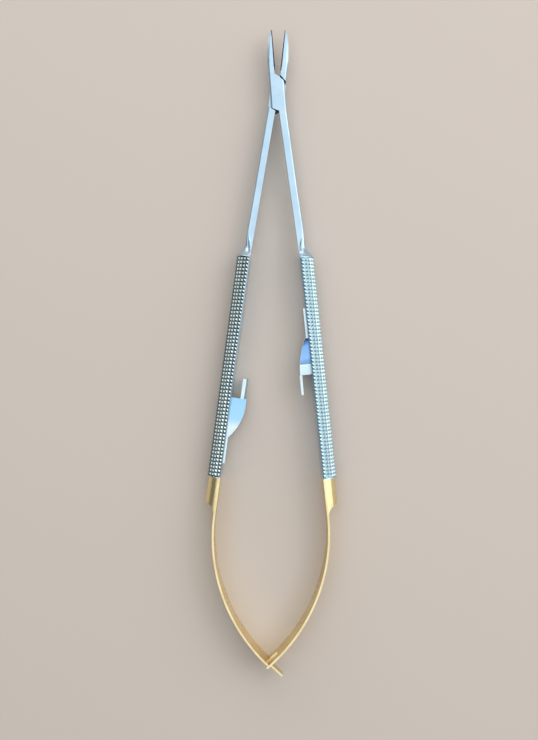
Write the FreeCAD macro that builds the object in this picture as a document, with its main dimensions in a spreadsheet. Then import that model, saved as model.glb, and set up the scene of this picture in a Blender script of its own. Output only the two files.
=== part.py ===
import FreeCAD, Part
import math
import os

import Sketcher

# Spring-handled surgical needle holder, lying on its side as on a tray.
# X runs across the handles, Y from the tail to the jaws and Z up from the surface.
# The origin is the middle of the lowest face of the instrument's box, with the jaws open.
#
# Two halves cross in a lap joint. The upper half carries the left jaw and the right handle.
# The lower half is the same forging turned half a turn about the long axis.
# Each half is drawn closed, with the joint's centre as its zero point.
# A handle's own line is its flat inner face. Distances along it count from the joint.

SIZES = {
    # Opening of one half from the middle line, in degrees.
    "open_half_angle": 5.7,
    # Lap joint: plate, diagonal shoulders, and the gaps between the two halves.
    "joint_height": 3.6,
    "plate_half_width": 2.1,
    "shoulder_reach": 3.3,
    "heel_reach": 3.85,
    "crotch_reach": 4.85,
    "notch_side": 0.4,
    "notch_reach": 4.9,
    "shoulder_clearance": 0.08,
    "lap_clearance": 0.04,
    "middle_gap": 0.05,
    "pin_radius": 0.8,
    "pin_clearance": 0.02,
    # Jaws.
    "jaw_length": 18.0,
    "jaw_root_reach": 6.5,
    "jaw_root_width": 1.95,
    "jaw_tip_width": 0.52,
    "jaw_back_radius": 38.0,
    "jaw_tip_height": 1.1,
    "cutter_room": 1.0,
    "jaw_edge_bevel": 0.35,
    "jaw_face_gap": 0.02,
    "throat_relief": 0.35,
    "throat_start": 5.5,
    # Carbide inserts.
    "insert_start": 7.5,
    "insert_thickness": 0.4,
    "insert_tip_thickness": 0.22,
    # Shanks.
    "shank_root_width": 2.1,
    "shank_waist_reach": 27.0,
    "shank_waist_width": 2.0,
    "shank_end_width": 2.0,
    "shank_edge_radius": 0.45,
    "shank_end_reach": 43.0,
    "neck_start": 39.0,
    "neck_start_radius": 1.75,
    "neck_end": 45.8,
    "neck_end_radius": 3.75,
    "neck_sweep_radius": 9.5,
    # Handles.
    "handle_angle": 1.1,
    "handle_offset": 1.44,
    "handle_radius": 4.0,
    "grip_start": 46.0,
    "grip_length": 61.6,
    "knurl_pitch": 1.3,
    "knurl_depth": 0.3,
    "knurl_margin": 0.3,
    "knurl_overrun": 0.01,
    # Tail springs.
    "collar_length": 7.3,
    "collar_rise": 3.45,
    "leaf_thickness": 0.5,
    "leaf_height": 8.0,
    "crossing_reach": 158.2,
    "tail_length": 5.0,
    "fork_length": 0.8,
    "fork_slot_height": 3.3,
    "fork_slot_depth": 3.3,
    "tongue_side_clearance": 0.12,
    "shoulder_seat_clearance": 0.05,
    # Catch strips, cams and hooks, counted back from the end of the grip.
    "catch_height": 5.0,
    "catch_strip_thickness": 0.6,
    "left_strip_setback": 4.0,
    "left_strip_length": 7.3,
    "left_cam_slope_length": 9.0,
    "left_cam_top_length": 2.1,
    "left_cam_rise": 4.25,
    "left_cam_radius": 13.5,
    "left_hook_length": 5.5,
    "left_hook_inset": 0.3,
    "left_hook_thickness": 1.45,
    "hook_tip_gap": 1.25,
    "right_hook_length": 5.5,
    "right_hook_inner": 2.8,
    "right_hook_thickness": 0.7,
    "right_cam_length": 10.5,
    "right_cam_rise": 3.3,
    "right_cam_radius": 21.0,
    "right_strip_length": 7.8,
    "hook_overlap": 1.0,
    "hook_height": 2.9,
    "hook_bevel": 0.6,
    # Flush rivets that hold the catch strips.
    "rivet_radius": 0.6,
    "rivet_depth": 2.0,
    "rivet_clearance": 0.01,
    "rivet_edge_distance": 2.1,
}

# Places that follow from the sizes above, each a formula in the sheet.
DERIVED = {
    "middle_height": "=handle_radius",
    "grip_end": "=grip_start + grip_length",
    "collar_end": "=grip_end + collar_length",
    "cove_radius": "=collar_rise - leaf_thickness",
    "leaf_start": "=collar_end + cove_radius",
    "collar_radius": "=(leaf_height ^ 2 / 4 + collar_rise ^ 2) / (2 * collar_rise)",
    "collar_axis": "=collar_rise - collar_radius",
    "shoulder_slope": "=(notch_reach - shoulder_reach) / (plate_half_width - notch_side)",
    "heel_slope": "=(crotch_reach - heel_reach) / (plate_half_width - middle_gap)",
    "heel_notch": "=heel_reach + heel_slope * (plate_half_width - notch_side)",
    "lap_side": "=plate_half_width + cutter_room",
    "lap_near": "=shoulder_reach + shoulder_slope * (plate_half_width - lap_side) + shoulder_clearance",
    "lap_far": "=shoulder_reach + shoulder_slope * (plate_half_width + lap_side) + shoulder_clearance",
    "heel_near": "=heel_reach + heel_slope * (plate_half_width - lap_side) + shoulder_clearance",
    "heel_far": "=heel_reach + heel_slope * (plate_half_width + lap_side) + shoulder_clearance",
    "seat_side": "=jaw_face_gap + insert_thickness",
    "seat_tip_side": "=jaw_face_gap + insert_tip_thickness",
    "grip_x": "=handle_offset + grip_start * sin(handle_angle)",
    "grip_y": "=-grip_start * cos(handle_angle)",
    "shank_waist_x": "=middle_gap + (grip_x - middle_gap) * (shank_waist_reach - crotch_reach)"
                     " / (-grip_y - crotch_reach)",
    "knurl_count": "=round((grip_length - 2 * knurl_margin) / knurl_pitch)",
    "knurl_first": "=grip_start + (grip_length - (knurl_count - 1) * knurl_pitch) / 2",
    "knurl_half": "=knurl_pitch / 2 + knurl_overrun",
    "left_strip_end": "=grip_end - left_strip_setback",
    "left_strip_start": "=left_strip_end - left_strip_length",
    "left_cam_top_end": "=left_strip_start - left_cam_slope_length",
    "left_cam_start": "=left_cam_top_end - left_cam_top_length",
    "left_hook_tip": "=left_cam_start - left_hook_length",
    "left_hook_outer": "=left_cam_rise - left_hook_inset",
    "left_hook_inner": "=left_hook_outer - left_hook_thickness",
    "right_cam_end": "=left_hook_tip - hook_tip_gap",
    "right_hook_tip": "=right_cam_end + right_hook_length",
    "right_hook_outer": "=right_hook_inner + right_hook_thickness",
    "right_strip_end": "=right_cam_end - right_cam_length",
    "right_strip_start": "=right_strip_end - right_strip_length",
    "left_rivet_front": "=left_strip_start + rivet_edge_distance",
    "left_rivet_back": "=left_strip_end - rivet_edge_distance",
    "right_rivet_front": "=right_strip_start + rivet_edge_distance",
    "right_rivet_back": "=right_strip_end - rivet_edge_distance",
    "crossing_x": "=(-crossing_reach * sin(open_half_angle) - handle_offset) * cos(handle_angle)"
                  " - crossing_reach * cos(open_half_angle) * sin(handle_angle)",
    "crossing_y": "=(crossing_reach * sin(open_half_angle) + handle_offset) * sin(handle_angle)"
                  " - crossing_reach * cos(open_half_angle) * cos(handle_angle)",
    "leaf_run_x": "=crossing_x - leaf_thickness / 2",
    "leaf_run_y": "=crossing_y + leaf_start",
    "leaf_radius": "=-(leaf_run_x ^ 2 + leaf_run_y ^ 2) / (2 * leaf_run_x)",
    "leaf_centre_x": "=leaf_thickness / 2 - leaf_radius",
    "leaf_turn": "=atan2(-leaf_run_y; crossing_x - leaf_centre_x) / 1 deg",
    "fork_turn": "=leaf_turn - fork_slot_depth / leaf_radius * 180 / pi",
    "shoulder_turn": "=leaf_turn - (leaf_thickness / 2 + shoulder_seat_clearance) / leaf_radius"
                     " * 180 / pi",
    "tongue_height": "=fork_slot_height - 2 * tongue_side_clearance",
    "tail_slope": "=leaf_turn - open_half_angle - handle_angle",
    "tail_reach": "=crossing_reach + tail_length * cos(tail_slope)"
                  " + leaf_thickness / 2 * sin(tail_slope)",
    "tip_reach": "=jaw_length * cos(open_half_angle) - jaw_face_gap * sin(open_half_angle)",
    "joint_y": "=(tail_reach - tip_reach) / 2",
}

FLIP = FreeCAD.Rotation(FreeCAD.Vector(0, 1, 0), 180)
ACROSS = FreeCAD.Rotation(FreeCAD.Vector(0, 1, 0), 90)
UP = FreeCAD.Vector(0, 0, 1)
SYMMETRIC = "Symmetric"
# Limits for telling one edge of a solid from another, in mm.
SAME_PLACE = 0.000001
LEVEL = 0.01
OFF_MIDDLE = 0.1
LONG_EDGE = 3
BACK_EDGE = 1
END_SLACK = 0.3

doc = FreeCAD.newDocument("needle_holder")
sheet = doc.addObject("Spreadsheet::Sheet", "Sizes")


def fill_sheet():
    """Writes every size and every derived place into the sheet under its own name."""
    entries = list(SIZES.items()) + list(DERIVED.items())
    for row, (name, content) in enumerate(entries, start=1):
        sheet.set(f"A{row}", name)
        sheet.set(f"B{row}", str(content))
        sheet.setAlias(f"B{row}", name)
    doc.recompute()


def named(expression):
    """Returns an expression with each word that is a size's name pointed at the sheet."""
    words = []
    word = ""
    for letter in expression + " ":
        if letter.isalnum() or letter == "_":
            word += letter
            continue
        words.append(f"Sizes.{word}" if word in SIZES or word in DERIVED else word)
        words.append(letter)
        word = ""
    return "".join(words).strip()


def value(expression):
    """Returns the number that an expression over the sheet's names stands for."""
    return float(sheet.evalExpression(named(expression)))


def origin_plane(body, role):
    """Returns one of the body's own three origin planes."""
    return next(plane for plane in body.Origin.OriginFeatures if plane.Role == role)


def new_sketch(body, name, role="XY_Plane", raised="0", on_handle=False):
    """Adds a sketch on an origin plane, raised off it, or turned to the handle's own line."""
    sketch = body.newObject("Sketcher::SketchObject", name)
    sketch.AttachmentSupport = [(origin_plane(body, role), "")]
    sketch.MapMode = "FlatFace"
    sketch.AttachmentOffset = FreeCAD.Placement(FreeCAD.Vector(), FreeCAD.Rotation(UP, LEVEL))
    sketch.setExpression("AttachmentOffset.Base.z", named(raised))
    sketch.setExpression("AttachmentOffset.Rotation.Angle", named("handle_angle") if on_handle else "0")
    if on_handle:
        sketch.setExpression("AttachmentOffset.Base.x", named("handle_offset"))
    return sketch


def bind(sketch, constraint, expression):
    """Adds a constraint and ties its value to an expression over the sheet."""
    index = sketch.addConstraint(constraint)
    sketch.setExpression(f"Constraints[{index}]", named(expression))


def arc_through(start, end, radius):
    """Returns an arc from start to end: it bends to the left of the chord if radius is positive."""
    chord = end - start
    half = chord.Length / 2
    rise = abs(radius) - math.sqrt(radius * radius - half * half)
    side = UP.cross(chord).normalize() * math.copysign(rise, radius)
    return Part.Arc(start, (start + end) / 2 + side, end)


def end_at(sketch, index, place):
    """Returns which end of an edge, 1 or 2, lies at a place."""
    return 1 if (sketch.getPoint(index, 1) - place).Length < SAME_PLACE else 2


def outline(sketch, corners):
    """Draws a closed outline. Each corner is (x, y) or (x, y, radius of the arc that leaves it)."""
    points = [FreeCAD.Vector(value(corner[0]), value(corner[1]), 0) for corner in corners]
    following = points[1:] + points[:1]
    first = sketch.GeometryCount
    for corner, start, end in zip(corners, points, following):
        if len(corner) == 2:
            edge = Part.LineSegment(start, end)
        else:
            edge = arc_through(start, end, value(corner[2]))
        sketch.addGeometry(edge, False)
    for step, corner in enumerate(corners):
        index = first + step
        after = first + (step + 1) % len(corners)
        leaving = end_at(sketch, index, following[step])
        entering = end_at(sketch, after, following[step])
        sketch.addConstraint(Sketcher.Constraint("Coincident", index, leaving, after, entering))
        corner_end = end_at(sketch, index, points[step])
        across, along = points[step].x, points[step].y
        bind(sketch, Sketcher.Constraint("DistanceX", -1, 1, index, corner_end, across), corner[0])
        bind(sketch, Sketcher.Constraint("DistanceY", -1, 1, index, corner_end, along), corner[1])
        if len(corner) == 3:
            size = abs(value(corner[2]))
            bind(sketch, Sketcher.Constraint("Radius", index, size), f"abs({corner[2]})")


def circle(sketch, across, along, radius):
    """Draws a circle at a place that follows the sheet."""
    centre = FreeCAD.Vector(value(across), value(along), 0)
    index = sketch.addGeometry(Part.Circle(centre, UP, value(radius)), False)
    bind(sketch, Sketcher.Constraint("DistanceX", -1, 1, index, 3, centre.x), across)
    bind(sketch, Sketcher.Constraint("DistanceY", -1, 1, index, 3, centre.y), along)
    bind(sketch, Sketcher.Constraint("Radius", index, value(radius)), radius)


def axis_line(sketch, across, start, end):
    """Draws the construction line, parallel to the sketch's own Y axis, that a shape turns about."""
    low = FreeCAD.Vector(value(across), value(start), 0)
    high = FreeCAD.Vector(value(across), value(end), 0)
    index = sketch.addGeometry(Part.LineSegment(low, high), True)
    bind(sketch, Sketcher.Constraint("DistanceX", -1, 1, index, 1, low.x), across)
    bind(sketch, Sketcher.Constraint("DistanceY", -1, 1, index, 1, low.y), start)
    bind(sketch, Sketcher.Constraint("DistanceX", -1, 1, index, 2, high.x), across)
    bind(sketch, Sketcher.Constraint("DistanceY", -1, 1, index, 2, high.y), end)


def pad(body, sketch, length, symmetric=True):
    """Raises a sketch by a length, to both sides of it or to its own upper side."""
    feature = body.newObject("PartDesign::Pad", f"{sketch.Name}_pad")
    feature.Profile = sketch
    feature.SideType = SYMMETRIC if symmetric else "One side"
    feature.setExpression("Length", named(length))
    sketch.Visibility = False
    return feature


def pocket(body, sketch, length=None, symmetric=True, downwards=True):
    """Cuts a sketch out of the body, right through it where no length is given."""
    feature = body.newObject("PartDesign::Pocket", f"{sketch.Name}_pocket")
    feature.Profile = sketch
    feature.SideType = SYMMETRIC if symmetric else "One side"
    feature.Reversed = not downwards
    if length is None:
        feature.Type = "ThroughAll"
    else:
        feature.setExpression("Length", named(length))
    return feature


def on_grip(across, along):
    """Returns the closed half's x and y for a place that is given on the handle's own line."""
    x = f"handle_offset + ({across}) * cos(handle_angle) + ({along}) * sin(handle_angle)"
    y = f"({across}) * sin(handle_angle) - ({along}) * cos(handle_angle)"
    return x, y


def jaw_taper(body, name):
    """Thins a jaw towards its tip, the same from above and from below."""
    sketch = new_sketch(body, name, role="YZ_Plane")
    for side in ("", "-"):
        outline(sketch, [
            ("throat_start", f"{side}joint_height / 2"),
            ("jaw_length", f"{side}jaw_tip_height / 2"),
            ("jaw_length + cutter_room", f"{side}jaw_tip_height / 2"),
            ("jaw_length + cutter_room", f"{side}(joint_height / 2 + cutter_room)"),
            ("throat_start", f"{side}(joint_height / 2 + cutter_room)"),
        ])
    return pocket(body, sketch)


def long_edges(shape, low, high):
    """Returns the names of the edges that run along the shank between two distances."""
    names = []
    for index, edge in enumerate(shape.Edges, start=1):
        ends = [vertex.Point for vertex in edge.Vertexes]
        if len(ends) != 2 or abs(ends[0].z - ends[1].z) > LEVEL or abs(ends[0].z) < OFF_MIDDLE:
            continue
        near, far = sorted(-end.y for end in ends)
        if low - END_SLACK < near and far < high + END_SLACK and far - near > LONG_EDGE:
            names.append(f"Edge{index}")
    return names


def back_edges(shape):
    """Returns the names of the edges along the back of the jaw and the plate, above and below."""
    names = []
    for index, edge in enumerate(shape.Edges, start=1):
        ends = [vertex.Point for vertex in edge.Vertexes]
        if len(ends) != 2 or min(abs(end.z) for end in ends) < OFF_MIDDLE:
            continue
        middle = edge.valueAt((edge.FirstParameter + edge.LastParameter) / 2)
        on_back = middle.x < -value("jaw_tip_width") and middle.y > -value("heel_reach")
        if on_back and abs(ends[0].y - ends[1].y) > BACK_EDGE:
            names.append(f"Edge{index}")
    return names


def build_branch(label, rivets):
    """Makes one half's forging: jaw, joint plate, shank, neck and knurled half-round handle."""
    body = doc.addObject("PartDesign::Body", label)
    plan = new_sketch(body, f"{label}_plan")
    outline(plan, [
        ("-jaw_tip_width", "jaw_length", "-jaw_back_radius"),
        ("-jaw_root_width", "jaw_root_reach"),
        ("-plate_half_width", "-heel_reach"),
        ("-notch_side", "-heel_notch"),
        ("middle_gap", "-crotch_reach"),
        ("grip_x", "grip_y"),
        on_grip("0", "grip_start + cutter_room"),
        on_grip("shank_end_width", "grip_start + cutter_room"),
        on_grip("shank_end_width", "shank_end_reach"),
        ("shank_waist_x + shank_waist_width", "-shank_waist_reach"),
        ("shank_root_width", "-crotch_reach"),
        ("plate_half_width", "-heel_reach"),
        ("plate_half_width", "shoulder_reach"),
        ("notch_side", "notch_reach"),
        ("-throat_relief", "throat_start"),
        ("-throat_relief", "insert_start"),
        ("-seat_side", "insert_start"),
        ("-seat_tip_side", "jaw_length"),
    ])
    pad(body, plan, "joint_height")
    taper = jaw_taper(body, f"{label}_taper")
    doc.recompute()
    bevel = body.newObject("PartDesign::Chamfer", f"{label}_bevelled_back")
    bevel.Base = (taper, back_edges(body.Shape))
    bevel.setExpression("Size", named("jaw_edge_bevel"))
    doc.recompute()

    turned = new_sketch(body, f"{label}_turned", on_handle=True)
    outline(turned, [
        ("0", "-neck_start"),
        ("0", "-grip_end"),
        ("handle_radius", "-grip_end"),
        ("handle_radius", "-grip_start"),
        ("neck_end_radius", "-neck_end", "neck_sweep_radius"),
        ("neck_start_radius", "-neck_start"),
    ])
    handle = body.newObject("PartDesign::Revolution", f"{label}_handle")
    handle.Profile = turned
    handle.ReferenceAxis = (turned, ["V_Axis"])
    handle.Midplane = True
    handle.Angle = 180
    doc.recompute()

    shank_edges = long_edges(body.Shape, value("crotch_reach"), value("neck_start"))
    soften = body.newObject("PartDesign::Fillet", f"{label}_soft_edges")
    soften.Base = (handle, shank_edges)
    soften.setExpression("Radius", named("shank_edge_radius"))
    doc.recompute()

    lap = new_sketch(body, f"{label}_lap", raised="lap_clearance / 2")
    outline(lap, [
        ("-lap_side", "lap_near"),
        ("-lap_side", "-heel_far"),
        ("lap_side", "-heel_near"),
        ("lap_side", "lap_far"),
    ])
    pocket(body, lap, "joint_height", symmetric=False)

    pin_hole = new_sketch(body, f"{label}_pin_hole")
    circle(pin_hole, "0", "0", "pin_radius + pin_clearance")
    pocket(body, pin_hole)

    for index, along in enumerate(rivets, start=1):
        hole = body.newObject("PartDesign::SubtractiveCylinder", f"{label}_rivet_hole_{index}")
        hole.setExpression("Radius", named("rivet_radius + rivet_clearance"))
        hole.setExpression("Height", named("rivet_depth + cutter_room"))
        hole.Placement = grip_placement(value(along), value("cutter_room"))

    groove_plan = new_sketch(body, f"{label}_groove_plan", on_handle=True)
    outline(groove_plan, [
        ("handle_radius - knurl_depth", "-knurl_first"),
        ("handle_radius", "-knurl_first - knurl_half"),
        ("handle_radius + knurl_depth", "-knurl_first - knurl_half"),
        ("handle_radius + knurl_depth", "-knurl_first + knurl_half"),
        ("handle_radius", "-knurl_first + knurl_half"),
    ])
    groove = body.newObject("PartDesign::Groove", f"{label}_groove")
    groove.Profile = groove_plan
    groove.ReferenceAxis = (groove_plan, ["V_Axis"])
    groove.Angle = 360
    doc.recompute()
    knurl = body.newObject("PartDesign::LinearPattern", f"{label}_knurl")
    knurl.Originals = [groove]
    knurl.Direction = (groove_plan, ["V_Axis"])
    knurl.Reversed = True
    knurl.setExpression("Length", named("(knurl_count - 1) * knurl_pitch"))
    knurl.setExpression("Occurrences", named("knurl_count"))
    body.Tip = knurl
    return body


def handle_line():
    """Returns the place of the handle's own line in the closed half."""
    offset = FreeCAD.Vector(value("handle_offset"), 0, 0)
    return FreeCAD.Placement(offset, FreeCAD.Rotation(UP, value("handle_angle")))


def grip_placement(along, across):
    """Returns the place of a pin whose Z axis runs into the handle's flat face at a distance."""
    return handle_line() * FreeCAD.Placement(FreeCAD.Vector(-across, -along, 0), ACROSS)


def build_insert(label):
    """Makes one jaw's carbide insert, which fills its seat and tapers with the jaw."""
    body = doc.addObject("PartDesign::Body", label)
    plan = new_sketch(body, f"{label}_plan")
    outline(plan, [
        ("-seat_side", "insert_start"),
        ("-jaw_face_gap", "insert_start"),
        ("-jaw_face_gap", "jaw_length"),
        ("-seat_tip_side", "jaw_length"),
    ])
    pad(body, plan, "joint_height")
    body.Tip = jaw_taper(body, f"{label}_taper")
    return body


def build_pin(label):
    """Makes the joint's pin, flush with both plates."""
    pin = doc.addObject("Part::Cylinder", label)
    pin.setExpression("Radius", named("pin_radius"))
    pin.setExpression("Height", named("joint_height"))
    return pin


def leaf_point(turn, offset="0"):
    """Returns a place on the leaf at an angle about its centre of bending."""
    x = f"leaf_centre_x + (leaf_radius + {offset}) * cos({turn})"
    y = f"-leaf_start - (leaf_radius + {offset}) * sin({turn})"
    return x, y


def beyond_crossing(run, offset="0"):
    """Returns a place on the straight tail, past the crossing along the leaf's own direction."""
    x = f"crossing_x - ({run}) * sin(leaf_turn) + ({offset}) * cos(leaf_turn)"
    y = f"crossing_y - ({run}) * cos(leaf_turn) - ({offset}) * sin(leaf_turn)"
    return x, y


def build_tail_spring(label, forked):
    """Makes one tail spring: half-round collar, cove, bent leaf, then a fork or a tongue."""
    body = doc.addObject("PartDesign::Body", label)
    outer = "leaf_thickness / 2"
    inner = "-leaf_thickness / 2"
    bend_end = "leaf_turn" if forked else "shoulder_turn"
    corners = [
        ("0", "-grip_end"),
        ("0", "-leaf_start", "leaf_radius - leaf_thickness / 2"),
        leaf_point(bend_end, inner),
    ]
    if forked:
        corners += [beyond_crossing("fork_length", inner), beyond_crossing("fork_length", outer)]
    corners += [
        leaf_point(bend_end, outer) + ("-(leaf_radius + leaf_thickness / 2)",),
        ("leaf_thickness", "-leaf_start", "cove_radius"),
        ("collar_rise", "-collar_end"),
        ("collar_rise", "-grip_end"),
    ]
    plan = new_sketch(body, f"{label}_plan")
    outline(plan, corners)
    pad(body, plan, "leaf_height")

    rounding = new_sketch(body, f"{label}_rounding")
    axis_line(rounding, "collar_axis", "-leaf_start", "-grip_end")
    outline(rounding, [
        ("collar_rise", "-leaf_start"),
        ("collar_rise + leaf_height", "-leaf_start"),
        ("collar_rise + leaf_height", "-grip_end + cutter_room"),
        ("collar_rise", "-grip_end + cutter_room"),
    ])
    rounded = body.newObject("PartDesign::Groove", f"{label}_half_round")
    rounded.Profile = rounding
    rounded.ReferenceAxis = (rounding, ["Axis0"])
    rounded.Angle = 360
    doc.recompute()

    if forked:
        slot = new_sketch(body, f"{label}_slot")
        outline(slot, [
            leaf_point("fork_turn", "-2 * leaf_thickness"),
            leaf_point("fork_turn", "2 * leaf_thickness"),
            beyond_crossing("fork_length + cutter_room", "2 * leaf_thickness"),
            beyond_crossing("fork_length + cutter_room", "-2 * leaf_thickness"),
        ])
        body.Tip = pocket(body, slot, "fork_slot_height")
        return body
    tongue = new_sketch(body, f"{label}_tongue")
    outline(tongue, [
        leaf_point("shoulder_turn", inner),
        beyond_crossing("0", inner),
        beyond_crossing("tail_length", inner),
        beyond_crossing("tail_length", outer),
        beyond_crossing("0", outer),
        leaf_point("shoulder_turn", outer),
    ])
    body.Tip = pad(body, tongue, "tongue_height")
    return body


def build_catch(label, plan_corners, hook, rivets):
    """Makes one catch: strip and cam as one piece, with a bevelled hook on its end."""
    body = doc.addObject("PartDesign::Body", label)
    plan = new_sketch(body, f"{label}_plan")
    outline(plan, plan_corners)
    pad(body, plan, "catch_height")

    near, far, inner, outer = hook
    hook_section = new_sketch(body, f"{label}_hook_section", role="XZ_Plane", raised=near)
    outline(hook_section, [
        (f"-({inner})", "-hook_overlap / 2"),
        (f"-({inner})", "hook_height - hook_overlap / 2"),
        (f"-({outer})", "hook_height - hook_overlap / 2"),
        (f"-({outer})", "hook_bevel - hook_overlap / 2"),
        (f"-({outer}) + hook_bevel", "-hook_overlap / 2"),
    ])
    body.Tip = pad(body, hook_section, f"({far}) - ({near})", symmetric=False)

    for index, along in enumerate(rivets, start=1):
        hole = body.newObject("PartDesign::SubtractiveCylinder", f"{label}_rivet_hole_{index}")
        hole.setExpression("Radius", named("rivet_radius + rivet_clearance"))
        hole.setExpression("Height", named("3 * catch_strip_thickness"))
        across = 2 * value("catch_strip_thickness")
        hole.Placement = FreeCAD.Placement(FreeCAD.Vector(-across, -value(along), 0), ACROSS)
        body.Tip = hole
    return body


def build_rivet(label):
    """Makes one flush rivet, through the strip and into the handle's flat face."""
    rivet = doc.addObject("Part::Cylinder", label)
    rivet.setExpression("Radius", named("rivet_radius"))
    rivet.setExpression("Height", named("catch_strip_thickness + rivet_depth"))
    return rivet


fill_sheet()

LEFT_RIVETS = ("left_rivet_front", "left_rivet_back")
RIGHT_RIVETS = ("right_rivet_front", "right_rivet_back")

# The joint's centre, and how each half is turned about it when the jaws are open.
joint = FreeCAD.Vector(0, value("joint_y"), value("middle_height"))
opened = value("open_half_angle")
upper_half = FreeCAD.Placement(joint, FreeCAD.Rotation(UP, opened))
lower_half = FreeCAD.Placement(joint, FreeCAD.Rotation(UP, -opened) * FLIP)
pin_place = FreeCAD.Placement(FreeCAD.Vector(0, 0, -value("joint_height") / 2), FreeCAD.Rotation())

LEFT_CATCH = [
    ("0", "-left_strip_end"),
    ("-catch_strip_thickness", "-left_strip_end"),
    ("-catch_strip_thickness", "-left_strip_start", "left_cam_radius"),
    ("-left_cam_rise", "-left_cam_top_end"),
    ("-left_cam_rise", "-left_cam_start"),
    ("0", "-left_cam_start"),
]
RIGHT_CATCH = [
    ("0", "-right_strip_start"),
    ("0", "-right_cam_end"),
    ("-right_cam_rise", "-right_cam_end", "right_cam_radius"),
    ("-catch_strip_thickness", "-right_strip_end"),
    ("-catch_strip_thickness", "-right_strip_start"),
]
LEFT_HOOK = ("left_hook_tip", "left_cam_start", "left_hook_inner", "left_hook_outer")
RIGHT_HOOK = ("right_cam_end", "right_hook_tip", "right_hook_inner", "right_hook_outer")

pieces = {
    "branch_upper": (build_branch("branch_upper", RIGHT_RIVETS), upper_half),
    "branch_lower": (build_branch("branch_lower", LEFT_RIVETS), lower_half),
    "jaw_insert_left": (build_insert("jaw_insert_left"), upper_half),
    "jaw_insert_right": (build_insert("jaw_insert_right"), lower_half),
    "pivot_pin": (build_pin("pivot_pin"), upper_half * pin_place),
    "tail_spring_right": (build_tail_spring("tail_spring_right", True), upper_half * handle_line()),
    "tail_spring_left": (build_tail_spring("tail_spring_left", False), lower_half * handle_line()),
    "catch_right": (
        build_catch("catch_right", RIGHT_CATCH, RIGHT_HOOK, RIGHT_RIVETS), upper_half * handle_line()),
    "catch_left": (
        build_catch("catch_left", LEFT_CATCH, LEFT_HOOK, LEFT_RIVETS), lower_half * handle_line()),
}
for side, half, rivets in (("right", upper_half, RIGHT_RIVETS), ("left", lower_half, LEFT_RIVETS)):
    for index, along in enumerate(rivets, start=1):
        name = f"catch_rivet_{side}_{index}"
        strip_face = value("catch_strip_thickness")
        pieces[name] = (build_rivet(name), half * grip_placement(value(along), strip_face))

doc.recompute()
for name, (piece, place) in pieces.items():
    piece.Label = name
    piece.Placement = place
doc.recompute()

for item in doc.Objects:
    troubles = [state for state in item.State if state in ("Invalid", "Error")]
    if troubles:
        raise RuntimeError(f"{item.Name} did not build: {troubles}")
os.makedirs("parts", exist_ok=True)
box = FreeCAD.BoundBox()
for name, (piece, place) in pieces.items():
    shape = piece.Shape
    if shape.isNull() or not shape.isValid() or len(shape.Solids) != 1:
        raise RuntimeError(f"{name} is not one valid solid")
    shape.exportStep(f"parts/{name}.step")
    box.add(shape.BoundBox)
    print(name, round(shape.Volume, 2), "mm3")
print("box", [round(edge, 3) for edge in (box.XMin, box.YMin, box.ZMin, box.XMax, box.YMax, box.ZMax)])
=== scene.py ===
import logging
import math
from dataclasses import dataclass, field
from enum import Enum
from typing import Callable

import bpy
from mathutils import Matrix, Vector


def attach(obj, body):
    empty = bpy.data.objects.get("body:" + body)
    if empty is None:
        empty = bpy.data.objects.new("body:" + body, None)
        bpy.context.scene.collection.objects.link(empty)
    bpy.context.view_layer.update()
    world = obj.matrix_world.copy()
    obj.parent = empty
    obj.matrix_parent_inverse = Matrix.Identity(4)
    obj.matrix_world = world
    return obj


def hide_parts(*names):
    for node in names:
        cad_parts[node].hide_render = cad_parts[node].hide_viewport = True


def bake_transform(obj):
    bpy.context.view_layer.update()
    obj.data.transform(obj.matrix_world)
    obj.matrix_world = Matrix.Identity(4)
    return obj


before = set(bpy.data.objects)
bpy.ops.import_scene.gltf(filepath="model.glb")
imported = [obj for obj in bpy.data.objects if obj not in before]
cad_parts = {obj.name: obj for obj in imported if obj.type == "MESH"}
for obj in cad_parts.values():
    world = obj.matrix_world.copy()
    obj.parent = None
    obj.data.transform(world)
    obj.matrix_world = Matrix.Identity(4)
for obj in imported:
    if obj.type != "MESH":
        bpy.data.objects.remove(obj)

log = logging.getLogger("needle_holder")
MM = 0.001
# How near to a cut a point counts as lying on it, and how exactly a cut is made, in metres.
ON_CUT = 2e-6
CUT_FIT = 1e-6
FINE_CUT_FIT = 1e-7

# Sockets of the mix node by number, because its kinds share their names.
MIX_FACTOR = 0
COLOUR_A, COLOUR_B, COLOUR_MIXED = 6, 7, 2
NUMBER_A, NUMBER_B, NUMBER_MIXED = 2, 3, 0

Colour = tuple[float, float, float]
Place = tuple[float, float, float]
Test = Callable[[Vector, Vector], bool]
Socket = bpy.types.NodeSocket


class Side(Enum):
    """The two halves of the instrument, named by the side their handle lies on."""

    RIGHT = "right"
    LEFT = "left"


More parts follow.
